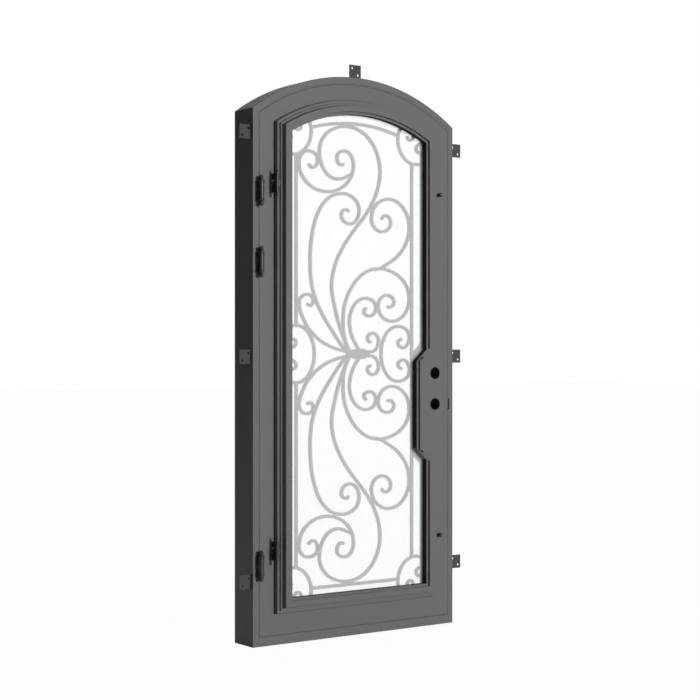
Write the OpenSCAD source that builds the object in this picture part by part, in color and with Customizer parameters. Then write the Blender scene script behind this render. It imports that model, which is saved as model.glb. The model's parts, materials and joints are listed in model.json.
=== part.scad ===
// Arch top door: steel frame, hinged leaf with scroll grille, and a hinged glass panel.
// Millimetres. +X right, -Y toward the room side, +Z up. Origin: middle of the sill's underside.

/* [Frame] */
// Overall width of the frame
frame_w = 1072; // [900:1:1300]
// Height from the underside of the sill to the springing of the arch
spring_h = 2250; // [2000:1:2500]
// Rise of the arch above its springing
arch_rise = 176; // [120:1:260]
// Front-to-back depth of the frame
frame_d = 145; // [130:1:180]
// Width of each jamb and of the head, seen from the front
jamb_w = 27; // [22:1:40]
// Height of the sill
sill_h = 37; // [25:1:60]
// How far the stops stand in from the jambs and the head
stop_w = 22; // [15:1:35]
// Distance of the stops behind the leaf
stop_gap = 9; // [8:0.5:15]
// Thickness of the bulb seal on the stops
seal_t = 3.5; // [2:0.5:4]

/* [Anchor tabs] */
// Length of a tab out from the frame
tab_l = 57; // [40:1:80]
// Width of a tab along the frame
tab_w = 60; // [40:1:80]
// Thickness of a tab
tab_t = 4.5; // [3:0.5:8]
// Depth of the tabs behind the front of the frame
tab_y = 14; // [8:1:60]
// Diameter of the holes in a tab
tab_hole_d = 11; // [8:0.5:14]
// Half the distance between a tab's two holes, along and across
tab_hole_s = 15; // [10:0.5:20]

/* [Leaf] */
// Thickness of the leaf
leaf_t = 68; // [60:1:75]
// Gap between the leaf and the jambs and sill
leaf_gap = 5; // [4:0.5:8]
// Gap between the leaf and the arched head
head_gap = 7; // [6:0.5:10]
// Width of the hinge stile and the lock stile
stile_w = 105; // [95:1:125]
// Height of the bottom rail
rail_h = 102; // [90:1:130]
// Radial width of the arched top rail
top_rail_w = 90; // [85:1:110]
// How far the lock stile steps in beside the lock
lock_step = 55; // [40:1:70]
// Lower and upper ends of the full step beside the lock
step_lo = 776; // [700:1:850]
// Upper end of the full step
step_hi = 1217; // [1180:1:1300]
// Height of the step's slanted ends
step_slant = 52; // [40:1:70]
// Taper of the lock edge toward the back
lock_bevel = 5; // [4:0.5:8]

/* [Lock] */
// Diameter of the two lock bores
bore_d = 54; // [50:1:57]
// Height of the handle bore's centre
bore_z = 996; // [950:1:1050]
// Distance of the upper bore above the lower one
bore_pitch = 139.7; // [100:0.1:160]
// Distance of the bores from the leaf's lock edge
backset = 70; // [60:1:80]

/* [Main hinges] */
// Diameter of the hinge barrels
hinge_d = 25; // [20:1:28]
// Length of a barrel without its finials
hinge_l = 82; // [70:1:110]
// Gap between a hinge barrel and the leaf's front
hinge_clear = 5.5; // [5:0.5:12]
// Diameter of the hinge pins
pin_d = 12; // [8:1:14]

/* [Glass panel] */
// Distance of the panel's front from the leaf's front
panel_p = 48; // [44:1:60]
// Gap between the back of the panel and the leaf
panel_gap = 5; // [4:0.5:8]
// Distance of the panel's hinge-side edge from the frame's edge
panel_x0 = 105; // [98:1:115]
// Distance of the panel's lock-side edge from the frame's other edge
panel_x1 = 116; // [110:1:125]
// Height of the panel's bottom edge
panel_z0 = 131; // [125:1:140]
// Distance from the arch's outside to the panel's outside
panel_top = 102; // [98:1:112]
// Width of the stepped moulding
mould_w = 54; // [50:1:60]
// Height of the moulding's first step in front of the leaf
mould_h1 = 20; // [16:1:26]
// Height of the moulding's second step above the first
mould_h2 = 8; // [5:1:12]
// How far the glazing bead lies behind the moulding's front
bead_drop = 9; // [5:1:14]
// Distance of the glass in front of the leaf
glass_y = 13; // [12:1:20]
// Width of the glazing bead
bead_w = 12; // [8:1:16]
// Thickness of the glass
glass_t = 6; // [4:1:8]
// Diameter of the panel's hinge barrels
phinge_d = 14; // [10:1:16]
// Length of the panel's hinge barrels
phinge_l = 78; // [60:1:100]

/* [Grille] */
// Width and depth of the grille's bars
bar_w = 14; // [10:1:18]
// Distance of the grille's middle plane behind the leaf's front
grille_y = 14; // [8:1:40]

/* [View] */
// Which node to build

/* [Hidden] */
$fn = 96;
hw = frame_w / 2;
jamb_in = hw - jamb_w;
arch_r = (hw * hw + arch_rise * arch_rise) / (2 * arch_rise);
arch_cz = spring_h + arch_rise - arch_r;
crown_z = spring_h + arch_rise;
head_r = arch_r - jamb_w;
head_z = arch_cz + sqrt(head_r * head_r - jamb_in * jamb_in);
stop_in = jamb_in - stop_w;
stop_r = head_r - stop_w;
stop_y = leaf_t + stop_gap;
leaf_x = jamb_in - leaf_gap;
leaf_z0 = sill_h + leaf_gap;
leaf_r = head_r - head_gap;
open_x = leaf_x - stile_w;
open_z = leaf_z0 + rail_h;
open_r = leaf_r - top_rail_w;
hinge_x = -jamb_in + leaf_gap / 2;
hinge_y = hinge_d / 2 + hinge_clear;
hinge_lug = hinge_d * 0.44;
bore_x = leaf_x - backset;
px0 = -hw + panel_x0;
px1 = hw - panel_x1;
pcx = (px0 + px1) / 2;
panel_r = arch_r - panel_top;
sx = open_x / 399;
sz = (arch_cz + sqrt(open_r * open_r - open_x * open_x) - open_z) / 2048;
bar_o = bar_w / 2;
grille_zc = open_z + 1083 * sz;

// ---------- shared helpers ----------

// a flat shape drawn in X and Z, made solid from y0 back to y1
module slab(y0, y1) {
    translate([0, y1, 0])
        rotate([90, 0, 0])
            linear_extrude(height = y1 - y0)
                children();
}

// everything in X and Z under the arch of radius r
module under_arch(r, cx = 0) {
    translate([cx, arch_cz])
        circle(r = r, $fn = 180);
    translate([cx - r, -20])
        square([2 * r, arch_cz + 20]);
}

module rect(x0, x1, z0, z1) {
    translate([x0, z0])
        square([x1 - x0, z1 - z0]);
}

module box(x0, x1, y0, y1, z0, z1) {
    translate([x0, y0, z0])
        cube([x1 - x0, y1 - y0, z1 - z0]);
}

// a band between two arches that share a centre
module arch_band(r_out, r_in, half, z_low) {
    intersection() {
        difference() {
            translate([0, arch_cz])
                circle(r = r_out, $fn = 180);
            translate([0, arch_cz])
                circle(r = r_in, $fn = 180);
        }
        rect(-half, half, z_low, crown_z + 10);
    }
}

// ---------- frame ----------

module jamb_hinge_side() {
    color([0.12, 0.12, 0.12])
        box(-hw, -jamb_in, 0, frame_d, 0, head_z);
}

module jamb_lock_side() {
    color([0.12, 0.12, 0.12])
        difference() {
            box(jamb_in, hw, 0, frame_d, 0, head_z);
            box(jamb_in - 1, jamb_in + 6, -1, 45, bore_z - 25, bore_z + 25);
            box(jamb_in - 1, jamb_in + 14, 24, 46, bore_z + bore_pitch - 24, bore_z + bore_pitch + 24);
        }
}

module frame_head() {
    color([0.12, 0.12, 0.12])
        slab(0, frame_d)
            arch_band(arch_r, head_r, hw, head_z);
}

module sill() {
    color([0.12, 0.12, 0.12])
        box(-jamb_in, jamb_in, 0, frame_d, 0, sill_h);
}

stop_z = arch_cz + sqrt(stop_r * stop_r - stop_in * stop_in);

module stop_hinge_side() {
    color([0.12, 0.12, 0.12])
        box(-jamb_in, -stop_in, stop_y, frame_d, sill_h, stop_z);
}

module stop_lock_side() {
    color([0.12, 0.12, 0.12])
        box(stop_in, jamb_in, stop_y, frame_d, sill_h, stop_z);
}

module stop_head() {
    color([0.12, 0.12, 0.12])
        slab(stop_y, frame_d)
            arch_band(head_r, stop_r, jamb_in, stop_z);
}

module perimeter_seal() {
    seal_w = 12;
    color([0.04, 0.04, 0.04])
        slab(stop_y - seal_t, stop_y)
            difference() {
                intersection() {
                    rect(-stop_in - seal_w - 3, stop_in + seal_w + 3, sill_h, crown_z);
                    under_arch(stop_r + seal_w + 3);
                }
                intersection() {
                    rect(-stop_in - 3, stop_in + 3, sill_h - 1, crown_z);
                    under_arch(stop_r + 3);
                }
            }
}

// a flat tab whose inner edge is the middle of its lower side, reaching up
module tab() {
    difference() {
        rect(-tab_w / 2, tab_w / 2, -5, tab_l);
        translate([-tab_hole_s, tab_l / 2 + tab_hole_s])
            circle(d = tab_hole_d);
        translate([tab_hole_s, tab_l / 2 - tab_hole_s])
            circle(d = tab_hole_d);
    }
}

module tab_left(z) {
    color([0.12, 0.12, 0.12])
        slab(tab_y, tab_y + tab_t)
            difference() {
                rect(-hw - tab_l, -hw, z - tab_w / 2, z + tab_w / 2);
                translate([-hw - tab_l / 2 + tab_hole_s, z + tab_hole_s])
                    circle(d = tab_hole_d);
                translate([-hw - tab_l / 2 - tab_hole_s, z - tab_hole_s])
                    circle(d = tab_hole_d);
            }
}

module tab_right(z) {
    color([0.12, 0.12, 0.12])
        slab(tab_y, tab_y + tab_t)
            difference() {
                rect(hw, hw + tab_l, z - tab_w / 2, z + tab_w / 2);
                translate([hw + tab_l / 2 - tab_hole_s, z + tab_hole_s])
                    circle(d = tab_hole_d);
                translate([hw + tab_l / 2 + tab_hole_s, z - tab_hole_s])
                    circle(d = tab_hole_d);
            }
}

tab_z_low = 274;
tab_z_top = spring_h - 100;
tab_z_mid = (tab_z_low + tab_z_top) / 2;

module tab_left_low() {
    tab_left(tab_z_low);
}

module tab_left_mid() {
    tab_left(tab_z_mid);
}

module tab_left_top() {
    tab_left(tab_z_top);
}

module tab_right_low() {
    tab_right(tab_z_low);
}

module tab_right_mid() {
    tab_right(tab_z_mid);
}

module tab_right_top() {
    tab_right(tab_z_top);
}

module tab_crown() {
    color([0.12, 0.12, 0.12])
        slab(tab_y, tab_y + tab_t)
            difference() {
                translate([0, crown_z])
                    tab();
                translate([0, arch_cz])
                    circle(r = arch_r, $fn = 180);
            }
}

// ---------- main hinges ----------

knuckle = (hinge_l - 2) / 3;
hinge_z_low = 340;
hinge_z_top = head_z - 331;
hinge_z_mid = hinge_z_top - 297;

module pin_with_finials(z, d, l, pin) {
    translate([0, 0, z - l / 2 - 1])
        cylinder(d = pin, h = l + 2);
    for (s = [-1, 1])
        translate([0, 0, z + s * l / 2])
            rotate([s > 0 ? 0 : 180, 0, 0])
                rotate_extrude($fn = 64)
                    polygon([
                        [0, 0.4], [d * 0.46, 0.4], [d * 0.46, 3], [d * 0.34, 5], [d * 0.3, 8],
                        [d * 0.42, 10], [d * 0.44, 14], [d * 0.38, 18], [d * 0.24, 21.5],
                        [d * 0.1, 24], [0, 24.4]
                    ]);
}

module hinge_frame(z) {
    color([0.1, 0.1, 0.1]) {
        translate([hinge_x, -hinge_y, 0])
            pin_with_finials(z, hinge_d, hinge_l, pin_d);
        for (s = [-1, 1]) {
            k0 = z + s * (knuckle + 1) - knuckle / 2;
            difference() {
                union() {
                    translate([hinge_x, -hinge_y, k0])
                        cylinder(d = hinge_d, h = knuckle);
                    box(hinge_x - hinge_lug, -jamb_in, -hinge_y, 0, k0, k0 + knuckle);
                }
                translate([hinge_x, -hinge_y, k0 - 1])
                    cylinder(d = pin_d - 1, h = knuckle + 2);
            }
        }
    }
}

module hinge_leaf(z) {
    k0 = z - knuckle / 2;
    color([0.1, 0.1, 0.1])
        difference() {
            union() {
                translate([hinge_x, -hinge_y, k0])
                    cylinder(d = hinge_d, h = knuckle);
                box(-leaf_x, hinge_x + hinge_lug, -hinge_y, 0, k0, k0 + knuckle);
            }
            translate([hinge_x, -hinge_y, k0 - 1])
                cylinder(d = pin_d + 1, h = knuckle + 2);
        }
}

module hinge_low_frame() {
    hinge_frame(hinge_z_low);
}

module hinge_mid_frame() {
    hinge_frame(hinge_z_mid);
}

module hinge_top_frame() {
    hinge_frame(hinge_z_top);
}

module hinge_low_leaf() {
    hinge_leaf(hinge_z_low);
}

module hinge_mid_leaf() {
    hinge_leaf(hinge_z_mid);
}

module hinge_top_leaf() {
    hinge_leaf(hinge_z_top);
}

// ---------- leaf ----------

module hinge_stile() {
    color([0.12, 0.12, 0.12])
        slab(0, leaf_t)
            intersection() {
                rect(-leaf_x, -open_x, leaf_z0, crown_z);
                under_arch(leaf_r);
            }
}

module lock_stile() {
    color([0.12, 0.12, 0.12])
        difference() {
            slab(0, leaf_t)
                intersection() {
                    rect(open_x, leaf_x, leaf_z0, crown_z);
                    under_arch(leaf_r);
                }
            // the lock edge tapers toward the back so that it clears the jamb as it swings
            translate([0, 0, leaf_z0 - 1])
                linear_extrude(height = crown_z)
                    polygon([
                        [leaf_x, 4], [leaf_x + 2, 4], [leaf_x + 2, leaf_t + 1],
                        [leaf_x - lock_bevel, leaf_t + 1]
                    ]);
            for (k = [0, 1])
                translate([bore_x, -1, bore_z + k * bore_pitch])
                    rotate([-90, 0, 0])
                        cylinder(d = bore_d, h = leaf_t + 2);
        }
}

// the wider part of the leaf beside the lock
module lock_box() {
    color([0.12, 0.12, 0.12])
        slab(0, leaf_t)
            polygon([
                [open_x, step_hi + step_slant], [open_x - lock_step, step_hi],
                [open_x - lock_step, step_lo], [open_x, step_lo - step_slant]
            ]);
}

module top_rail() {
    color([0.12, 0.12, 0.12])
        slab(0, leaf_t)
            arch_band(leaf_r, open_r, open_x, arch_cz + 200);
}

module bottom_rail() {
    color([0.12, 0.12, 0.12])
        box(-open_x, open_x, 0, leaf_t, leaf_z0, open_z);
}

module latch_knob(z) {
    knob_x = hw - 80;
    color([0.1, 0.1, 0.1])
        translate([knob_x, 0, z])
            rotate([90, 0, 0])
                rotate_extrude($fn = 64)
                    polygon([
                        [0, 0], [9, 0], [9, 2], [5, 3], [5, 8], [8, 10], [9.5, 13], [9.5, 15],
                        [8, 18], [5, 19.6], [0, 20]
                    ]);
}

knob_z_low = 405;
knob_z_top = spring_h - 309;

module latch_knob_low() {
    latch_knob(knob_z_low);
}

module latch_knob_top() {
    latch_knob(knob_z_top);
}

// ---------- grille ----------

// handle length of a curve that turns by t between two stations, as a share of their distance
function reach(t) = 0.333 + 0.057 * (t / 90) * (t / 90);

// stations are [x, z, heading]; the curve between two of them leaves and arrives at their headings
function bend(p, q, n) =
    let (c = norm([q[0] - p[0], q[1] - p[1]]), k = c * reach(q[2] - p[2]),
         ax = p[0] + k * cos(p[2]), ay = p[1] + k * sin(p[2]),
         bx = q[0] - k * cos(q[2]), by = q[1] - k * sin(q[2]))
    [for (i = [0:1:n - 1])
        let (t = i / n, u = 1 - t,
             x = u * u * u * p[0] + 3 * u * u * t * ax + 3 * u * t * t * bx + t * t * t * q[0],
             z = u * u * u * p[1] + 3 * u * u * t * ay + 3 * u * t * t * by + t * t * t * q[1],
             dx = u * u * (ax - p[0]) + 2 * u * t * (bx - ax) + t * t * (q[0] - bx),
             dz = u * u * (ay - p[1]) + 2 * u * t * (by - ay) + t * t * (q[1] - by))
        [x, z, atan2(dz, dx)]];

function steps(p, q) = max(2, ceil(abs(q[2] - p[2]) / 9));

function trail(s) = concat(
    [for (i = [0:1:len(s) - 2]) for (b = bend(s[i], s[i + 1], steps(s[i], s[i + 1]))) b],
    [s[len(s) - 1]]);

function flip_x(s) = [for (p = s) [-p[0], p[1], 180 - p[2]]];
function flip_z(s, v = 0) = [for (p = s) [p[0], 2 * v - p[1], -p[2]]];
function shift(s, dx, dz) = [for (p = s) [p[0] + dx, p[1] + dz, p[2]]];

// the point beside station p, in the door's own place and scale
function beside(p, h) = [sx * (p[0] - h * sin(p[2])), grille_zc + sz * (p[1] + h * cos(p[2]))];

// a bar of the grille that follows the stations, drawn flat
module bar(s, w = bar_w) {
    t = trail(s);
    n = len(t);
    polygon(concat(
        [for (i = [0:1:n - 1]) beside(t[i], w / 2)],
        [for (i = [n - 1:-1:0]) beside(t[i], -w / 2)]));
}

module in_grille() {
    slab(grille_y - bar_o, grille_y + bar_o)
        children();
}

corner = [
    [359, -964, 180], [336, -983, 270], [368, -1005, 360], [392, -957, 450], [331, -911, 540],
    [233, -1018, 630], [275, -1076, 720], [323, -1050, 810], [301, -1018, 900], [284, -1036, 980]
];
corner_up = -67;

// the scrollwork is mirrored about this height, measured from the grille's datum
mid_v = -4;

side_r = [
    [258, 62, 190], [234, 45, 270], [261, 23, 360], [296.8, 73, 450], [234, 118, 540],
    [140, mid_v, 630]
];
side_l = -77;

fan_left = [
    [-30, -10, 140], [-135, 110, 128], [-213, 236, 114], [-239, 395, 90], [-66, 692, 0],
    [20, 623, -90], [-30, 562, -180], [-75, 598, -270], [-52, 623, -360], [-35, 613, -415]
];

fan_main = [
    [-22, -14, 120], [-82, 110, 112], [-110, 198, 104], [-127, 285, 90], [20, 565, 47],
    [134, 800, 90], [-41, 984.6, 180], [-191, 867, 270], [-97, 753, 360], [-30, 778, 395]
];

top_curl = [
    [-246, 812, 280], [-227, 795, 360], [-200, 832, 450], [-247, 864, 540], [-296.5, 813, 630],
    [-157, 695, 720], [-10, 820, 810], [-58, 877, 900], [-99, 845, 990], [-75, 815, 1080],
    [-62, 823, 1140]
];

right_curl = [
    [105, 366, 5], [190, 402, 28], [262, 462, 52], [296.8, 560, 90], [184, 681, 180],
    [87, 592, 270], [142, 535, 360], [193, 576, 450], [165, 607, 540], [144, 588, 620]
];

right_wheel = [
    [-16, -14, 125], [-62, 80, 100], [-66, 148, 90], [-18, 290, 54], [128, 372, 0],
    [296.8, 242, -90], [198, 140, -180], [124, 207, -270], [171, 255, -360], [211, 226, -450], [187, 203, -540],
    [172, 206, -565]
];

inner_wheel = [
    [87, 48, 180], [65, 62, 90], [93, 87, 0], [126, 54, -90], [84, 5, -180], [15, 20, -230],
    [-32, 135, -270], [57, 240, -360], [111, 198, -450], [76, 162, -540], [46, 182, -630],
    [62, 196, -715]
];

low_left = [
    [30, 2, 180], [-91, 15, 166], [-166, 42, 152], [-228, 86, 136], [-272, 142, 115],
    [-296.5, 210, 90], [-257, 251, 0], [-223, 226, -90], [-240, 204, -180], [-254, 213, -240]
];

module border_flat() {
    bar([[311, -911, 90], [311, 844, 90]]);
    bar([[-311, -911, 90], [-311, mid_v - 122, 90]]);
    bar([[-311, mid_v + 122, 90], [-311, 844, 90]]);
    bar([[-233, -1006.5, 0], [233, -1006.5, 0]]);
    bar([[-233, 966, 16], [0, 999, 0], [233, 966, -16]]);
}

module corner_flat() {
    for (s = [corner, flip_x(corner)]) {
        bar(s);
        bar(shift(flip_z(s), 0, corner_up));
    }
}

module side_flat() {
    for (s = [side_r, shift(flip_x(side_r), side_l, 0)]) {
        bar(s);
        bar(flip_z(s, mid_v));
    }
}

// the forged boss where the scrolls gather
module boss() {
    polygon([for (a = [0:15:345]) [(20 + 56 * cos(a)) * sx, grille_zc + (mid_v + 24 * sin(a)) * sz]]);
}

module fan(up) {
    for (s = [fan_left, fan_main, top_curl, right_curl, right_wheel, inner_wheel, low_left])
        bar(up ? s : flip_z(s, mid_v));
    boss();
}

module grille_border() {
    color([0.1, 0.1, 0.1])
        in_grille()
            difference() {
                border_flat();
                corner_flat();
                side_flat();
            }
}

module corner_scrolls() {
    color([0.1, 0.1, 0.1])
        in_grille()
            corner_flat();
}

module side_scrolls() {
    color([0.1, 0.1, 0.1])
        in_grille()
            side_flat();
}

module scrolls_upper() {
    z = grille_zc + mid_v * sz;
    color([0.1, 0.1, 0.1])
        in_grille()
            difference() {
                intersection() {
                    fan(true);
                    rect(-open_x, open_x, z, crown_z);
                }
                corner_flat();
                side_flat();
                border_flat();
            }
}

module scrolls_lower() {
    z = grille_zc + mid_v * sz;
    color([0.1, 0.1, 0.1])
        in_grille()
            difference() {
                intersection() {
                    fan(false);
                    rect(-open_x, open_x, leaf_z0, z);
                }
                corner_flat();
                side_flat();
                border_flat();
            }
}

// ---------- glass panel ----------

phinge_x = px0 - phinge_d / 2;
phinge_y = mould_h1 + phinge_d / 2 + 6;
phinge_z_low = 398;
phinge_z_top = spring_h - 309;
pknuckle = (phinge_l - 2) / 3;

// the moulding's section: distance in from the panel's edge, then height in front of the leaf
mould = [
    [0, panel_gap], [0, panel_gap + 3], [4, mould_h1], [14, mould_h1], [16, mould_h1 + mould_h2],
    [24, mould_h1 + mould_h2], [29, panel_p],
    [mould_w, panel_p], [mould_w, panel_gap]
];

// corners of the panel's outline when it is drawn d inside the panel's edge
function jog(d) = d * 0.41;
function inset(d) = [
    [px0 + d, panel_z0 + d], [px1 - d, panel_z0 + d],
    [px1 - d, step_lo - step_slant + jog(d)], [px1 - lock_step - d, step_lo + jog(d)],
    [px1 - lock_step - d, step_hi - jog(d)], [px1 - d, step_hi + step_slant - jog(d)],
    [px1 - d, panel_corner(d)], [px0 + d, panel_corner(d)]
];
function panel_corner(d) =
    arch_cz + sqrt((panel_r - d) * (panel_r - d) - (px1 - pcx - d) * (px1 - pcx - d));

// one straight length of moulding between corners a and b of the outline
module mould_run(a, b) {
    o = inset(0);
    i = inset(mould_w);
    p = o[a];
    q = o[b];
    l = norm(q - p);
    ang = atan2(q[1] - p[1], q[0] - p[0]);
    intersection() {
        translate([p[0], 0, p[1]])
            rotate([0, -ang, 0])
                translate([-80, 0, 0])
                    rotate([90, 0, 90])
                        linear_extrude(height = l + 160)
                            polygon([for (m = mould) [-m[1], m[0]]]);
        slab(-panel_p - 1, 0)
            polygon([p, q, i[b], i[a]]);
    }
}

module panel_bottom() {
    color([0.12, 0.12, 0.12])
        mould_run(0, 1);
}

module panel_right() {
    color([0.12, 0.12, 0.12]) {
        mould_run(1, 2);
        mould_run(2, 3);
        mould_run(3, 4);
        mould_run(4, 5);
        mould_run(5, 6);
    }
}

module panel_left() {
    color([0.12, 0.12, 0.12])
        mould_run(7, 0);
}

module panel_top_arch() {
    o = inset(0);
    i = inset(mould_w);
    color([0.12, 0.12, 0.12])
        intersection() {
            translate([pcx, 0, arch_cz])
                rotate([90, 0, 0])
                    rotate_extrude($fn = 180)
                        polygon([for (m = mould) [panel_r - m[0], m[1]]]);
            slab(-panel_p - 1, 0)
                polygon([o[6], i[6], i[7], o[7], [px0, crown_z], [px1, crown_z]]);
        }
}

module pane_shape(d) {
    o = inset(d);
    intersection() {
        polygon([o[0], o[1], o[2], o[3], o[4], o[5], [o[6][0], crown_z], [o[7][0], crown_z]]);
        under_arch(panel_r - d, pcx);
    }
}

module glazing_bead() {
    color([0.12, 0.12, 0.12])
        slab(bead_drop - panel_p, -glass_y)
            difference() {
                pane_shape(mould_w);
                pane_shape(mould_w + bead_w);
            }
}

module glass() {
    color([0.85, 0.9, 0.9, 0.5])
        slab(-glass_y, -glass_y + glass_t)
            pane_shape(mould_w);
}

module panel_hinge_leaf(z) {
    color([0.1, 0.1, 0.1]) {
        translate([phinge_x, -phinge_y, 0]) {
            translate([0, 0, z - phinge_l / 2 - 1])
                cylinder(d = 6, h = phinge_l + 2);
            for (s = [-1, 1])
                translate([0, 0, z + s * phinge_l / 2])
                    rotate([s > 0 ? 0 : 180, 0, 0])
                        rotate_extrude($fn = 48)
                            polygon([
                                [0, 0.3], [6.4, 0.3], [6.4, 3], [4, 5], [3.4, 7], [5.4, 9.5],
                                [5.8, 12], [4.6, 15], [2.2, 17.6], [0, 18.4]
                            ]);
        }
        for (s = [-1, 1]) {
            k0 = z + s * (pknuckle + 1) - pknuckle / 2;
            difference() {
                union() {
                    translate([phinge_x, -phinge_y, k0])
                        cylinder(d = phinge_d, h = pknuckle);
                    box(phinge_x - phinge_d * 0.36, phinge_x + 2, -phinge_y, 0, k0, k0 + pknuckle);
                }
                translate([phinge_x, -phinge_y, k0 - 1])
                    cylinder(d = 5, h = pknuckle + 2);
            }
        }
    }
}

module panel_hinge_panel(z) {
    k0 = z - pknuckle / 2;
    color([0.1, 0.1, 0.1])
        difference() {
            union() {
                translate([phinge_x, -phinge_y, k0])
                    cylinder(d = phinge_d, h = pknuckle);
                box(phinge_x, px0 + 12, -mould_h1 - mould_h2, -mould_h1, k0, k0 + pknuckle);
            }
            translate([phinge_x, -phinge_y, k0 - 1])
                cylinder(d = 7, h = pknuckle + 2);
        }
}

module panel_hinge_low_leaf() {
    panel_hinge_leaf(phinge_z_low);
}

module panel_hinge_top_leaf() {
    panel_hinge_leaf(phinge_z_top);
}

module panel_hinge_low_panel() {
    panel_hinge_panel(phinge_z_low);
}

module panel_hinge_top_panel() {
    panel_hinge_panel(phinge_z_top);
}

jamb_hinge_side();
jamb_lock_side();
frame_head();
sill();
stop_hinge_side();
stop_lock_side();
stop_head();
perimeter_seal();
tab_left_low();
tab_left_mid();
tab_left_top();
tab_right_low();
tab_right_mid();
tab_right_top();
tab_crown();
hinge_low_frame();
hinge_mid_frame();
hinge_top_frame();
hinge_low_leaf();
hinge_mid_leaf();
hinge_top_leaf();
hinge_stile();
lock_stile();
lock_box();
top_rail();
bottom_rail();
grille_border();
corner_scrolls();
side_scrolls();
scrolls_upper();
scrolls_lower();
latch_knob_low();
latch_knob_top();
panel_hinge_low_leaf();
panel_hinge_top_leaf();
panel_left();
panel_right();
panel_top_arch();
panel_bottom();
glazing_bead();
glass();
panel_hinge_low_panel();
panel_hinge_top_panel();
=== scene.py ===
import json
import math

import bmesh
import bpy
from mathutils import Matrix, Vector


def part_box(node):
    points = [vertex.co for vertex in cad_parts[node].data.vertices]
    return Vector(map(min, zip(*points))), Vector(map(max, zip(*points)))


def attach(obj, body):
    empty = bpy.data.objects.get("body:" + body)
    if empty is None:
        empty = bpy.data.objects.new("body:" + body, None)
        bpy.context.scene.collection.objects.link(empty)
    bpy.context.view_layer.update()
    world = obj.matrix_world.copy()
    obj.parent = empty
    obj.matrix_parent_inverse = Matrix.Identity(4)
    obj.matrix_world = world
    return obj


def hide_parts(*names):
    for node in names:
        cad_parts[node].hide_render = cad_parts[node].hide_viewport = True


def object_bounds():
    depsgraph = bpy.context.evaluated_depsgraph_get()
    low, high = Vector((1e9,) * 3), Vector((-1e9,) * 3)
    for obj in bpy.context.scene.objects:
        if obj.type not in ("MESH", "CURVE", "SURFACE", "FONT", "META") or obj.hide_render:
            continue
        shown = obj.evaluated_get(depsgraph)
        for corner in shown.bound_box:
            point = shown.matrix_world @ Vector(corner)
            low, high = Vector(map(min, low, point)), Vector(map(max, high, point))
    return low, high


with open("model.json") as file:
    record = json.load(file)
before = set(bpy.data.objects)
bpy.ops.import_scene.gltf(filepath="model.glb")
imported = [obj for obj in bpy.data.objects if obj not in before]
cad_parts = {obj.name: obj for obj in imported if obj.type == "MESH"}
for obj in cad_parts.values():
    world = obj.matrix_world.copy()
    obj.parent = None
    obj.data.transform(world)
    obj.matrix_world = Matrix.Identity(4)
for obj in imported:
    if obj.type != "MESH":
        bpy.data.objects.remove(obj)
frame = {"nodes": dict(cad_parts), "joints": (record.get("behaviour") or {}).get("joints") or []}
cad_low, cad_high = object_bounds()
scene = bpy.context.scene
nodes = frame["nodes"]

MM = 0.001
RIGHT_ANGLE = math.radians(90)
FULL_TURN = math.radians(360)

# Camera: level, at chest height, on the hinge side of the door
CAMERA_SPOT = Vector((-4.102, -5.659, 1.240))
CAMERA_TURN = -35.68
CAMERA_LENS = 82.5

# Finishes
CHARCOAL = (0.119, 0.113, 0.113, 1)
TAB_GREY = (0.045, 0.043, 0.043, 1)
HINGE_BLACK = (0.020, 0.019, 0.019, 1)
# black of the rubber seal, also the painted shade in the lock bores and on the glazing bead's inner
# wall
SEAL_AND_SHADE_BLACK = (0.012, 0.012, 0.012, 1)
GLASS_WHITE = (0.98, 0.985, 0.985, 1)
CLOTH_BLACK = (0.01, 0.01, 0.01, 1)
FLOOR_GREY = (0.82, 0.82, 0.82, 1)
WHITE = (1, 1, 1, 1)

# Powder coat: patches to a metre, orange-peel bumps to a metre, and how far each one tells
CLOUD_SCALE = 3.5
PEEL_SCALE = 130.0
PEEL_SHARE = 0.6
SHEEN_SWING = 0.10
BUMP_DEPTH = 0.4 * MM

# Hazed glass: the least and greatest share of milk, and of roughness
MILK = (0.265, 0.290)
FROST = (0.10, 0.18)

# How white the ground looks where it is seen directly
GROUND_WHITENESS = 0.97

TAB_NODES = [n for n in nodes if n.startswith("tab_")]
HINGE_NODES = [n for n in nodes if "hinge_" in n and n.split("_")[-1] in ("frame", "leaf", "panel")]
KNOB_NODES = ["latch_knob_low", "latch_knob_top"]


# ---------- shared effects ----------

def socket(group, name, kind, way, value=None):
    made = group.interface.new_socket(name=name, in_out=way, socket_type=kind)
    if value is not None:
        made.default_value = value


def wire(tree, start, end):
    tree.links.new(start, end)


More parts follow.
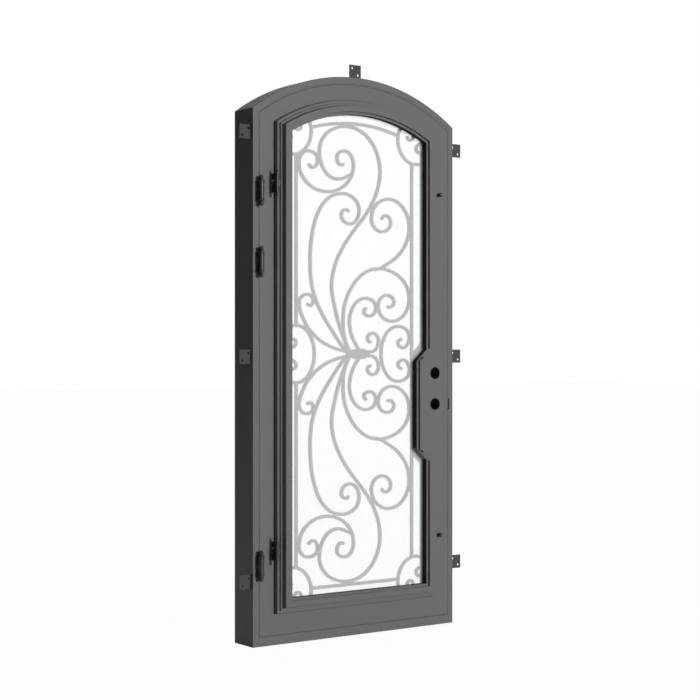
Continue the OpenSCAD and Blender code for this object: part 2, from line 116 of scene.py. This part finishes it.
def powder_coat():
    """Baked powder coat: a faint cloudiness in the colour and a fine orange-peel skin."""
    group = bpy.data.node_groups.new("powder coat", "ShaderNodeTree")
    socket(group, "Colour", "NodeSocketColor", "INPUT", CHARCOAL)
    socket(group, "Cloud", "NodeSocketFloat", "INPUT", 0.08)
    socket(group, "Grain size", "NodeSocketFloat", "INPUT", 420.0)
    socket(group, "Roughness", "NodeSocketFloat", "INPUT", 0.5)
    socket(group, "Colour", "NodeSocketColor", "OUTPUT")
    socket(group, "Roughness", "NodeSocketFloat", "OUTPUT")
    socket(group, "Height", "NodeSocketFloat", "OUTPUT")
    nt = group.nodes
    given = nt.new("NodeGroupInput")
    out = nt.new("NodeGroupOutput")
    place = nt.new("ShaderNodeTexCoord")

    cloud = nt.new("ShaderNodeTexNoise")
    cloud.inputs["Scale"].default_value = CLOUD_SCALE
    cloud.inputs["Detail"].default_value = 4.0
    wire(group, place.outputs["Object"], cloud.inputs["Vector"])
    centred = nt.new("ShaderNodeMath")
    centred.operation = "SUBTRACT"
    centred.inputs[1].default_value = 0.5
    wire(group, cloud.outputs["Fac"], centred.inputs[0])
    amount = nt.new("ShaderNodeMath")
    amount.operation = "MULTIPLY_ADD"
    amount.inputs[2].default_value = 1.0
    wire(group, centred.outputs[0], amount.inputs[0])
    wire(group, given.outputs["Cloud"], amount.inputs[1])
    tinted = nt.new("ShaderNodeVectorMath")
    tinted.operation = "SCALE"
    wire(group, given.outputs["Colour"], tinted.inputs[0])
    wire(group, amount.outputs[0], tinted.inputs["Scale"])
    wire(group, tinted.outputs[0], out.inputs["Colour"])

    grain = nt.new("ShaderNodeTexNoise")
    grain.inputs["Detail"].default_value = 2.0
    wire(group, place.outputs["Object"], grain.inputs["Vector"])
    wire(group, given.outputs["Grain size"], grain.inputs["Scale"])
    peel = nt.new("ShaderNodeTexNoise")
    peel.inputs["Scale"].default_value = PEEL_SCALE
    wire(group, place.outputs["Object"], peel.inputs["Vector"])
    skin = nt.new("ShaderNodeMath")
    skin.operation = "MULTIPLY_ADD"
    skin.inputs[1].default_value = PEEL_SHARE
    wire(group, peel.outputs["Fac"], skin.inputs[0])
    wire(group, grain.outputs["Fac"], skin.inputs[2])
    wire(group, skin.outputs[0], out.inputs["Height"])

    sheen = nt.new("ShaderNodeMath")
    sheen.operation = "MULTIPLY_ADD"
    sheen.inputs[1].default_value = SHEEN_SWING
    wire(group, centred.outputs[0], sheen.inputs[0])
    wire(group, given.outputs["Roughness"], sheen.inputs[2])
    wire(group, sheen.outputs[0], out.inputs["Roughness"])
    return group


COAT_GROUP = powder_coat()


def principled(name):
    """A new material, its node tree and its shader."""
    made = bpy.data.materials.new(name)
    made.use_nodes = True
    return made, made.node_tree, made.node_tree.nodes["Principled BSDF"]


def coated(name, colour, cloud, grain, roughness, bump, specular=0.18, metallic=0.0):
    """A painted or blackened metal finish on the shared powder-coat group."""
    made, tree, shader = principled(name)
    shader.inputs["Metallic"].default_value = metallic
    shader.inputs["Specular IOR Level"].default_value = specular
    coat = tree.nodes.new("ShaderNodeGroup")
    coat.node_tree = COAT_GROUP
    coat.inputs["Colour"].default_value = colour
    coat.inputs["Cloud"].default_value = cloud
    coat.inputs["Grain size"].default_value = grain
    coat.inputs["Roughness"].default_value = roughness
    dent = tree.nodes.new("ShaderNodeBump")
    dent.inputs["Strength"].default_value = bump
    dent.inputs["Distance"].default_value = BUMP_DEPTH
    wire(tree, coat.outputs["Height"], dent.inputs["Height"])
    wire(tree, coat.outputs["Colour"], shader.inputs["Base Color"])
    wire(tree, coat.outputs["Roughness"], shader.inputs["Roughness"])
    wire(tree, dent.outputs["Normal"], shader.inputs["Normal"])
    return made


def hazed_glass():
    """Obscure glazing: an even milky haze that the grille shows through."""
    made, tree, shader = principled("hazed glass")
    shader.inputs["Base Color"].default_value = GLASS_WHITE
    shader.inputs["Specular IOR Level"].default_value = 0.5
    shader.inputs["Coat Weight"].default_value = 0.6
    shader.inputs["Coat Roughness"].default_value = 0.03
    place = tree.nodes.new("ShaderNodeTexCoord")
    haze = tree.nodes.new("ShaderNodeTexNoise")
    haze.inputs["Scale"].default_value = 6.0
    haze.inputs["Detail"].default_value = 3.0
    wire(tree, place.outputs["Object"], haze.inputs["Vector"])
    for name, (least, most) in (("Alpha", MILK), ("Roughness", FROST)):
        ramp = tree.nodes.new("ShaderNodeMapRange")
        ramp.inputs["To Min"].default_value = least
        ramp.inputs["To Max"].default_value = most
        wire(tree, haze.outputs["Fac"], ramp.inputs["Value"])
        wire(tree, ramp.outputs["Result"], shader.inputs[name])
    return made


charcoal_iron = coated("charcoal iron", CHARCOAL, 0.10, 420.0, 0.52, 0.35)
grille_iron = coated("grille iron", CHARCOAL, 0.16, 300.0, 0.50, 0.50)
tab_steel = coated("tab steel", TAB_GREY, 0.22, 260.0, 0.60, 0.50)
hinge_steel = coated("hinge steel", HINGE_BLACK, 0.20, 350.0, 0.42, 0.25, 0.4, 0.2)
# the seal's black rubber, also the painted shade in the lock bores and on the glazing bead's inner
# wall
seal_rubber_and_shade = coated("seal rubber and painted shade", SEAL_AND_SHADE_BLACK, 0.15, 500.0, 0.78, 0.60)
glass = hazed_glass()

for name, node in nodes.items():
    finish = charcoal_iron
    if name in TAB_NODES:
        finish = tab_steel
    elif name in HINGE_NODES or name in KNOB_NODES:
        finish = hinge_steel
    elif name == "perimeter_seal":
        finish = seal_rubber_and_shade
    elif name == "glass":
        finish = glass
    elif "scrolls" in name or name == "grille_border":
        finish = grille_iron
    node.data.materials.clear()
    node.data.materials.append(finish)


# ---------- forged grille ----------

# Each bar is a chain of stations in the grille's plane: across, up, heading in degrees.
# Millimetres from the grille's datum, for the left and upper side.
MIRROR_HEIGHT = -4
CORNER_SHIFT = -67
SIDE_SHIFT = -77
CORNER = [
    (359, -964, 180), (336, -983, 270), (368, -1005, 360), (392, -957, 450), (331, -911, 540),
    (233, -1018, 630), (275, -1076, 720), (323, -1050, 810), (301, -1018, 900), (284, -1036, 980),
]
SIDE = [
    (258, 62, 190), (234, 45, 270), (261, 23, 360), (296.8, 73, 450), (234, 118, 540),
    (140, MIRROR_HEIGHT, 630),
]
FAN_LEFT = [
    (-30, -10, 140), (-135, 110, 128), (-213, 236, 114), (-239, 395, 90), (-66, 692, 0),
    (20, 623, -90), (-30, 562, -180), (-75, 598, -270), (-52, 623, -360), (-35, 613, -415),
]
FAN_MAIN = [
    (-22, -14, 120), (-82, 110, 112), (-110, 198, 104), (-127, 285, 90), (20, 565, 47),
    (134, 800, 90), (-41, 984.6, 180), (-191, 867, 270), (-97, 753, 360), (-30, 778, 395),
]
TOP_CURL = [
    (-246, 812, 280), (-227, 795, 360), (-200, 832, 450), (-247, 864, 540), (-296.5, 813, 630),
    (-157, 695, 720), (-10, 820, 810), (-58, 877, 900), (-99, 845, 990), (-75, 815, 1080),
    (-62, 823, 1140),
]
RIGHT_CURL = [
    (105, 366, 5), (190, 402, 28), (262, 462, 52), (296.8, 560, 90), (184, 681, 180),
    (87, 592, 270), (142, 535, 360), (193, 576, 450), (165, 607, 540), (144, 588, 620),
]
RIGHT_WHEEL = [
    (-16, -14, 125), (-62, 80, 100), (-66, 148, 90), (-18, 290, 54), (128, 372, 0),
    (296.8, 242, -90), (198, 140, -180), (124, 207, -270), (171, 255, -360), (211, 226, -450),
    (187, 203, -540), (172, 206, -565),
]
INNER_WHEEL = [
    (87, 48, 180), (65, 62, 90), (93, 87, 0), (126, 54, -90), (84, 5, -180), (15, 20, -230),
    (-32, 135, -270), (57, 240, -360), (111, 198, -450), (76, 162, -540), (46, 182, -630),
    (62, 196, -715),
]
LOW_LEFT = [
    (30, 2, 180), (-91, 15, 166), (-166, 42, 152), (-228, 86, 136), (-272, 142, 115),
    (-296.5, 210, 90), (-257, 251, 0), (-223, 226, -90), (-240, 204, -180), (-254, 213, -240),
]
FAN = [FAN_LEFT, FAN_MAIN, TOP_CURL, RIGHT_CURL, RIGHT_WHEEL, INNER_WHEEL, LOW_LEFT]
BORDER = [
    [(311, -911, 90), (311, 844, 90)],
    [(-311, -911, 90), (-311, MIRROR_HEIGHT - 122, 90)],
    [(-311, MIRROR_HEIGHT + 122, 90), (-311, 844, 90)],
    [(-233, -1006.5, 0), (233, -1006.5, 0)],
    [(-233, 966, 16), (0, 999, 0), (233, 966, -16)],
]

grille_low, grille_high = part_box("grille_border")
corner_low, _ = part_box("corner_scrolls")
GRILLE_MIDDLE = (grille_low.y + grille_high.y) / 2
BAR = grille_high.y - grille_low.y
GRILLE_DATUM = corner_low.z + 1083 * MM
EASE = 2.6 * MM
SHARP_CORNER = math.radians(40)
# sizes of a curled end's last sections, from the tip inwards
TIP_SIZES = (0.62, 0.86, 0.96)
# how much thinner each bar in order is, and the orders of the bars past the fan's seven
CROSSING_STEP = 0.012
BORDER_ORDER = 8
CORNER_ORDER = 9
SIDE_ORDER = 10
# the boss, in millimetres: half its width, half its height, and its shift from the datum
BOSS_HALF_WIDTH = 56
BOSS_HALF_HEIGHT = 24
BOSS_SHIFT = 20


def turned_over(stations, height=MIRROR_HEIGHT):
    """The stations mirrored top to bottom about a height."""
    return [(x, 2 * height - z, -turn) for x, z, turn in stations]


def turned_across(stations):
    """The stations mirrored left to right."""
    return [(-x, z, 180 - turn) for x, z, turn in stations]


def moved(stations, across, up):
    return [(x + across, z + up, turn) for x, z, turn in stations]


def reach(turn):
    """A curve's handle as a share of its chord: a third when straight, more as it turns."""
    return 0.333 + 0.057 * (turn / 90) ** 2


def path_of(stations):
    """Points and headings along the smooth line through the stations, in metres and radians."""
    line = []
    for (x0, z0, t0), (x1, z1, t1) in zip(stations, stations[1:]):
        start, end = Vector((x0, z0)), Vector((x1, z1))
        pull = (end - start).length * reach(t1 - t0)
        a0, a1 = math.radians(t0), math.radians(t1)
        near = start + pull * Vector((math.cos(a0), math.sin(a0)))
        far = end - pull * Vector((math.cos(a1), math.sin(a1)))
        steps = max(2, round(abs(t1 - t0) / 6), round((end - start).length / 26))
        for i in range(steps):
            t = i / steps
            u = 1 - t
            spot = u ** 3 * start + 3 * u * u * t * near + 3 * u * t * t * far + t ** 3 * end
            way = u * u * (near - start) + 2 * u * t * (far - near) + t * t * (end - far)
            line.append((spot * MM, math.atan2(way.y, way.x)))
    x1, z1, t1 = stations[-1]
    line.append((Vector((x1, z1)) * MM, math.radians(t1)))
    return line


def rounded(bm, geom, offset, segments, affect="EDGES"):
    bmesh.ops.bevel(
        bm, geom=geom, offset=offset, segments=segments, profile=0.5, affect=affect, material=-1,
    )


def forged_bar(bm, stations, tips, order):
    """Sweeps a square bar with eased corners along the stations; tips thin out at curled ends.
    Each bar in order is a hair thinner, so that the faces of bars that cross never coincide."""
    thickness = 1 - CROSSING_STEP * order
    line = path_of(stations)
    made = bmesh.new()
    square = bmesh.ops.create_grid(made, x_segments=1, y_segments=1, size=BAR / 2)
    rounded(made, square["verts"], EASE, 2, "VERTICES")
    # the section stands across the bar: X is sideways, Y runs through the grille, Z along the bar
    section = [v.co.copy() for v in made.verts]
    face = made.faces[:]
    ring = list(made.verts)
    count = len(line)
    for i, (spot, turn) in enumerate(line):
        if i:
            behind = face
            grown = bmesh.ops.extrude_face_region(made, geom=behind)["geom"]
            ring_new = [g for g in grown if isinstance(g, bmesh.types.BMVert)]
            face = [g for g in grown if isinstance(g, bmesh.types.BMFace)]
            ring = order_like(ring, ring_new)
            # only the first face stays, as the bar's closed end
            if i > 1:
                bmesh.ops.delete(made, geom=behind, context="FACES_ONLY")
        size = 1.0
        if "start" in tips and i < len(TIP_SIZES):
            size = TIP_SIZES[i]
        left = count - 1 - i
        if "end" in tips and left < len(TIP_SIZES):
            size = TIP_SIZES[left]
        place = Matrix.Translation((spot.x, GRILLE_MIDDLE, GRILLE_DATUM + spot.y))
        place = place @ Matrix.Rotation(-turn + RIGHT_ANGLE, 4, "Y")
        for v, corner in zip(ring, section):
            v.co = place @ Vector((corner.x * size, corner.y * size * thickness, 0))
    bmesh.ops.recalc_face_normals(made, faces=made.faces)
    piece = bpy.data.meshes.new("bar")
    made.to_mesh(piece)
    made.free()
    bm.from_mesh(piece)
    bpy.data.meshes.remove(piece)


def order_like(ring, grown):
    """The new ring's corners in the old ring's order: each stands on the one it grew from."""
    fresh = set(grown)
    ordered = []
    for v in ring:
        ordered.append(next(e.other_vert(v) for e in v.link_edges if e.other_vert(v) in fresh))
    return ordered


def boss(bm):
    """The flattened lump where the fan's bars gather."""
    round_plate = bmesh.ops.create_circle(bm, cap_ends=True, segments=40, radius=1.0)
    verts = round_plate["verts"]
    bmesh.ops.scale(bm, vec=(BOSS_HALF_WIDTH * MM, BOSS_HALF_HEIGHT * MM, 1), verts=verts)
    bmesh.ops.rotate(bm, matrix=Matrix.Rotation(RIGHT_ANGLE, 3, "X"), verts=verts)
    spot = (BOSS_SHIFT * MM, GRILLE_MIDDLE - BAR / 2, GRILLE_DATUM + MIRROR_HEIGHT * MM)
    bmesh.ops.translate(bm, vec=spot, verts=verts)
    face = list(verts[0].link_faces)
    grown = bmesh.ops.extrude_face_region(bm, geom=face, use_keep_orig=True)["geom"]
    back = [g for g in grown if isinstance(g, bmesh.types.BMVert)]
    bmesh.ops.translate(bm, vec=(0, BAR, 0), verts=back)
    rims = [
        e for v in list(verts) + back for e in v.link_edges
        if abs(e.verts[0].co.y - e.verts[1].co.y) < 1e-6
    ]
    rounded(bm, list(set(rims)), EASE, 2)


def finished(name, bm, finish, body, *stands_for):
    """Turns the mesh into a piece on its body, with even shading on its flats."""
    bmesh.ops.recalc_face_normals(bm, faces=bm.faces)
    for f in bm.faces:
        f.smooth = True
    for e in bm.edges:
        e.smooth = len(e.link_faces) == 2 and e.calc_face_angle() < SHARP_CORNER
    mesh = bpy.data.meshes.new(name)
    bm.to_mesh(mesh)
    bm.free()
    mesh.materials.append(finish)
    piece = bpy.data.objects.new(name, mesh)
    scene.collection.objects.link(piece)
    weigh = piece.modifiers.new("even shading", "WEIGHTED_NORMAL")
    weigh.keep_sharp = True
    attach(piece, body)
    if stands_for:
        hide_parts(*stands_for)
    return piece


def forged_grille():
    border = bmesh.new()
    for stations in BORDER:
        forged_bar(border, stations, (), BORDER_ORDER)
    finished("forged_border", border, grille_iron, "leaf", "grille_border")

    corners = bmesh.new()
    for stations in (CORNER, turned_across(CORNER)):
        forged_bar(corners, stations, ("start", "end"), CORNER_ORDER)
        above = moved(turned_over(stations, 0), 0, CORNER_SHIFT)
        forged_bar(corners, above, ("start", "end"), CORNER_ORDER)
    finished("forged_corners", corners, grille_iron, "leaf", "corner_scrolls")

    sides = bmesh.new()
    for stations in (SIDE, moved(turned_across(SIDE), SIDE_SHIFT, 0)):
        forged_bar(sides, stations, ("start",), SIDE_ORDER)
        forged_bar(sides, turned_over(stations), ("start",), SIDE_ORDER + 1)
    finished("forged_sides", sides, grille_iron, "leaf", "side_scrolls")

    upper = bmesh.new()
    lower = bmesh.new()
    for order, stations in enumerate(FAN, 1):
        tips = ("start", "end") if stations in (TOP_CURL, INNER_WHEEL) else ("end",)
        forged_bar(upper, stations, tips, order)
        forged_bar(lower, turned_over(stations), tips, order + 0.5)
    boss(upper)
    finished("forged_upper_fan", upper, grille_iron, "leaf", "scrolls_upper")
    finished("forged_lower_fan", lower, grille_iron, "leaf", "scrolls_lower")


# ---------- seams, painted shade in the bores ---

_, head_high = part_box("frame_head")
_, sill_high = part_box("sill")
jamb_low, jamb_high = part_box("jamb_lock_side")
_, stile_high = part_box("lock_stile")
HALF_WIDTH = jamb_high.x
JAMB_INSIDE = jamb_low.x
ARCH_RISE = 0.176
ARCH_RADIUS = (HALF_WIDTH ** 2 + ARCH_RISE ** 2) / (2 * ARCH_RISE)
ARCH_CENTRE = head_high.z - ARCH_RADIUS
HEAD_INSIDE = ARCH_RADIUS - (HALF_WIDTH - JAMB_INSIDE)
BORE_RADIUS = 27 * MM
BORE_BACKSET = 70 * MM
BORE_HEIGHTS = (0.996, 1.1357)


def strip_box(bm, low, high):
    """A straight length of strip with eased edges."""
    verts = bmesh.ops.create_cube(bm, size=1.0)["verts"]
    low, high = Vector(low), Vector(high)
    bmesh.ops.scale(bm, vec=high - low, verts=verts)
    bmesh.ops.translate(bm, vec=(low + high) / 2, verts=verts)
    edges = list({e for v in verts for e in v.link_edges})
    rounded(bm, edges, 0.4 * MM, 2)


def seam_strips():
    """Slim kerf strips in the frame's rebate, which close most of the gap round the leaf."""
    front, back = 0.6 * MM, 9 * MM
    side, top, foot = 3.6 * MM, 5.4 * MM, 3.4 * MM
    bm = bmesh.new()
    corner_z = ARCH_CENTRE + math.sqrt(HEAD_INSIDE ** 2 - JAMB_INSIDE ** 2)
    strip_box(bm, (-JAMB_INSIDE, front, sill_high.z), (-JAMB_INSIDE + side, back, corner_z))
    strip_box(bm, (JAMB_INSIDE - side, front, sill_high.z), (JAMB_INSIDE, back, corner_z))
    strip_box(bm, (-JAMB_INSIDE, front, sill_high.z), (JAMB_INSIDE, back, sill_high.z + foot))
    half_turn = math.asin(JAMB_INSIDE / HEAD_INSIDE)
    verts = bmesh.ops.create_grid(bm, x_segments=1, y_segments=1, size=0.5)["verts"]
    bmesh.ops.scale(bm, vec=(top, back - front, 1), verts=verts)
    bmesh.ops.translate(bm, vec=(HEAD_INSIDE - top / 2, (front + back) / 2, 0), verts=verts)
    level = Matrix.Rotation(half_turn - RIGHT_ANGLE, 3, "Y")
    bmesh.ops.rotate(bm, matrix=level, verts=verts)
    bmesh.ops.translate(bm, vec=(0, 0, ARCH_CENTRE), verts=verts)
    faces = list(verts[0].link_faces)
    bmesh.ops.spin(
        bm, geom=faces, cent=(0, 0, ARCH_CENTRE), axis=(0, 1, 0),
        angle=-2 * half_turn, steps=64, use_merge=False, use_duplicate=False,
    )
    finished("seam_strips", bm, charcoal_iron, "frame")


def painted_bore_shade():
    """Black sleeves in the two lock bores: painted shade inside the holes."""
    bm = bmesh.new()
    inner, outer = BORE_RADIUS - 0.5 * MM, BORE_RADIUS - 0.05 * MM
    front, back = 0.5 * MM, stile_high.y - 0.5 * MM
    bore_x = stile_high.x - BORE_BACKSET
    for bore_z in BORE_HEIGHTS:
        outline = [(inner, front), (outer, front), (outer, back), (inner, back)]
        verts = [bm.verts.new((bore_x + r, y, bore_z)) for r, y in outline]
        edges = [bm.edges.new((verts[i], verts[(i + 1) % 4])) for i in range(4)]
        bmesh.ops.spin(
            bm, geom=verts + edges, cent=(bore_x, 0, bore_z), axis=(0, 1, 0),
            angle=FULL_TURN, steps=64, use_merge=True,
        )
    finished("painted_bore_shade", bm, seal_rubber_and_shade, "leaf")


forged_grille()
seam_strips()
painted_bore_shade()


# ---------- glazing gasket with painted reveal shade, hinge collars ---

# the beads at each end of a barrel, in millimetres: height from its middle, inner radius,
# outer radius and half thickness
COLLARS = ((38, 12.0, 14.3, 2.2), (33, 12.0, 13.6, 1.2))
COLLAR_EASE = 0.8


def gasket_with_painted_shade():
    """Black rubber over the bead's whole inner wall down to the glass: a gasket whose black also
    paints the shade of the deep reveal.
    """
    bead_low, bead_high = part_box("glazing_bead")
    centre = (bead_low + bead_high) / 2
    bm = bmesh.new()
    bm.from_mesh(nodes["glazing_bead"].data)
    bmesh.ops.remove_doubles(bm, verts=bm.verts, dist=0.01 * MM)
    others = [
        f for f in bm.faces
        if abs(f.normal.y) > 0.1 or f.normal.dot(centre - f.calc_center_median()) < 0
    ]
    bmesh.ops.delete(bm, geom=others, context="FACES")
    bm.normal_update()
    for v in bm.verts:
        v.co += v.normal * 0.7 * MM
    bmesh.ops.solidify(bm, geom=bm.faces[:], thickness=0.6 * MM)
    finished("gasket_with_painted_shade", bm, seal_rubber_and_shade, "glass_panel")


def turned_ring(bm, centre, outline):
    """Turns a closed outline of (radius, height) about an upright axis."""
    verts = [bm.verts.new((centre.x + r, centre.y, centre.z + z)) for r, z in outline]
    edges = [bm.edges.new((verts[i - 1], verts[i])) for i in range(len(verts))]
    bmesh.ops.spin(
        bm, geom=verts + edges, cent=centre, axis=(0, 0, 1),
        angle=FULL_TURN, steps=40, use_merge=True,
    )


def hinge_collars():
    """Turned beads round both ends of each main hinge's barrel."""
    axis = next(j for j in frame["joints"] if j["name"] == "door_swing")["pos_m"]
    bm = bmesh.new()
    for node in ("hinge_low_frame", "hinge_mid_frame", "hinge_top_frame"):
        low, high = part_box(node)
        middle = (low.z + high.z) / 2
        for side in (-1, 1):
            for height, inner, outer, half in COLLARS:
                centre = Vector((axis[0], axis[1], middle + side * height * MM))
                outline = [
                    (inner * MM, -half * MM), ((outer - COLLAR_EASE) * MM, -half * MM),
                    (outer * MM, -0.4 * half * MM), (outer * MM, 0.4 * half * MM),
                    ((outer - COLLAR_EASE) * MM, half * MM), (inner * MM, half * MM),
                ]
                turned_ring(bm, centre, outline)
    finished("hinge_collars", bm, hinge_steel, "frame")


gasket_with_painted_shade()
hinge_collars()


# ---------- eased edges ----------

MEMBER_EASE = 1.2 * MM
EASED_FROM = math.radians(50)
ARCH_FOOT = 2.0


def lengthwise(edge):
    """True for a member's long edges: uprights, level runs and arcs, but not its end joints."""
    run = edge.verts[1].co - edge.verts[0].co
    middle = (edge.verts[0].co + edge.verts[1].co) / 2
    if run.length < 1e-6 or abs(run.y) > 0.3 * run.length:
        return False
    straight = abs(run.z) > 0.98 * run.length
    out = Vector((middle.x, 0, middle.z - ARCH_CENTRE)).normalized()
    arc = middle.z > ARCH_FOOT and abs(run.normalized().dot(out)) < 0.06
    return straight or arc


def eased_copy(node, name, ease, body):
    """A copy of a CAD member whose long sharp edges are rounded, in the member's place."""
    bm = bmesh.new()
    bm.from_mesh(nodes[node].data)
    bmesh.ops.remove_doubles(bm, verts=bm.verts, dist=0.01 * MM)
    bmesh.ops.dissolve_limit(
        bm, angle_limit=math.radians(0.3), verts=bm.verts, edges=bm.edges,
    )
    sharp = [
        e for e in bm.edges
        if len(e.link_faces) == 2 and e.calc_face_angle_signed() > EASED_FROM and lengthwise(e)
    ]
    rounded(bm, sharp, ease, 3)
    finished(name, bm, charcoal_iron, body, node)


for member in ("jamb_hinge_side", "jamb_lock_side", "frame_head"):
    eased_copy(member, "eased_" + member, MEMBER_EASE, "frame")


# ---------- floor, light and camera ----------

def sheet(name, half_size, turn, spot, finish):
    """A flat square of studio ground or cloth, turned and moved to its spot."""
    bm = bmesh.new()
    bmesh.ops.create_grid(bm, x_segments=1, y_segments=1, size=half_size)
    bmesh.ops.rotate(bm, matrix=turn, verts=bm.verts)
    bmesh.ops.translate(bm, vec=spot, verts=bm.verts)
    mesh = bpy.data.meshes.new(name)
    bm.to_mesh(mesh)
    bm.free()
    mesh.materials.append(finish)
    made = bpy.data.objects.new(name, mesh)
    scene.collection.objects.link(made)
    return made


def pale_floor():
    """Ground that shows white, and that lights the door from below as a pale grey one."""
    made, tree, shader = principled("pale floor")
    shader.inputs["Base Color"].default_value = FLOOR_GREY
    shader.inputs["Roughness"].default_value = 0.9
    shader.inputs["Specular IOR Level"].default_value = 0.0
    white = tree.nodes.new("ShaderNodeEmission")
    mix = tree.nodes.new("ShaderNodeMixShader")
    seen = seen_directly(tree)
    fade = tree.nodes.new("ShaderNodeMath")
    fade.operation = "MULTIPLY"
    fade.inputs[1].default_value = GROUND_WHITENESS
    wire(tree, seen, fade.inputs[0])
    wire(tree, fade.outputs[0], mix.inputs[0])
    wire(tree, shader.outputs[0], mix.inputs[1])
    wire(tree, white.outputs[0], mix.inputs[2])
    wire(tree, mix.outputs[0], tree.nodes["Material Output"].inputs["Surface"])
    floor = sheet("floor", 40, Matrix.Identity(3), (0, 0, cad_low.z), made)


def seen_directly(tree):
    """1 for camera, glossy and transmission rays, so gloss and glass show the white ground too."""
    path = tree.nodes.new("ShaderNodeLightPath")
    first = tree.nodes.new("ShaderNodeMath")
    first.operation = "MAXIMUM"
    wire(tree, path.outputs["Is Camera Ray"], first.inputs[0])
    wire(tree, path.outputs["Is Glossy Ray"], first.inputs[1])
    second = tree.nodes.new("ShaderNodeMath")
    second.operation = "MAXIMUM"
    wire(tree, first.outputs[0], second.inputs[0])
    wire(tree, path.outputs["Is Transmission Ray"], second.inputs[1])
    return second.outputs[0]


def white_surround(fill):
    """A world that shows white, and that lights the door with no more than the fill."""
    world = bpy.data.worlds.new("studio")
    scene.world = world
    world.use_nodes = True
    tree = world.node_tree
    lit = tree.nodes["Background"]
    lit.inputs["Color"].default_value = WHITE
    lit.inputs["Strength"].default_value = fill
    white = tree.nodes.new("ShaderNodeBackground")
    white.inputs["Color"].default_value = WHITE
    white.inputs["Strength"].default_value = 1.0
    mix = tree.nodes.new("ShaderNodeMixShader")
    wire(tree, seen_directly(tree), mix.inputs[0])
    wire(tree, lit.outputs[0], mix.inputs[1])
    wire(tree, white.outputs[0], mix.inputs[2])
    wire(tree, mix.outputs[0], tree.nodes["World Output"].inputs["Surface"])


def black_cloth():
    made, _, shader = principled("black cloth")
    shader.inputs["Base Color"].default_value = CLOTH_BLACK
    shader.inputs["Roughness"].default_value = 1.0
    shader.inputs["Specular IOR Level"].default_value = 0.0
    return made


def dark_flag(name, cloth, turn_axis, spot):
    """A black studio flag out of the camera's sight, which only reflections show."""
    flag = sheet(name, 12, Matrix.Rotation(RIGHT_ANGLE, 3, turn_axis), spot, cloth)
    flag.visible_camera = False
    flag.visible_diffuse = False
    flag.visible_transmission = False
    flag.visible_shadow = False


def soft_lamp(name, toward, strength, spread):
    """A broad distant lamp that shines along the given direction."""
    data = bpy.data.lights.new(name, "SUN")
    data.energy = strength
    data.angle = math.radians(spread)
    lamp = bpy.data.objects.new(name, data)
    lamp.rotation_euler = Vector(toward).to_track_quat("-Z", "Y").to_euler()
    scene.collection.objects.link(lamp)


def door_camera():
    data = bpy.data.cameras.new("camera")
    data.lens = CAMERA_LENS
    data.sensor_width = 36
    data.clip_end = 200
    made = bpy.data.objects.new("camera", data)
    made.location = CAMERA_SPOT
    made.rotation_euler = (RIGHT_ANGLE, 0, math.radians(CAMERA_TURN))
    scene.collection.objects.link(made)
    scene.camera = made


pale_floor()
black = black_cloth()
dark_flag("side_flag", black, "Y", (-4, 8, 0))
dark_flag("back_flag", black, "X", (2, 8, 12))
white_surround(0.07)
soft_lamp("key lamp", (-0.31, 0.94, -0.16), 2.8, 16)
soft_lamp("back lamp", (-0.40, -0.80, -0.25), 2.4, 40)
door_camera()
scene.view_settings.view_transform = "Standard"
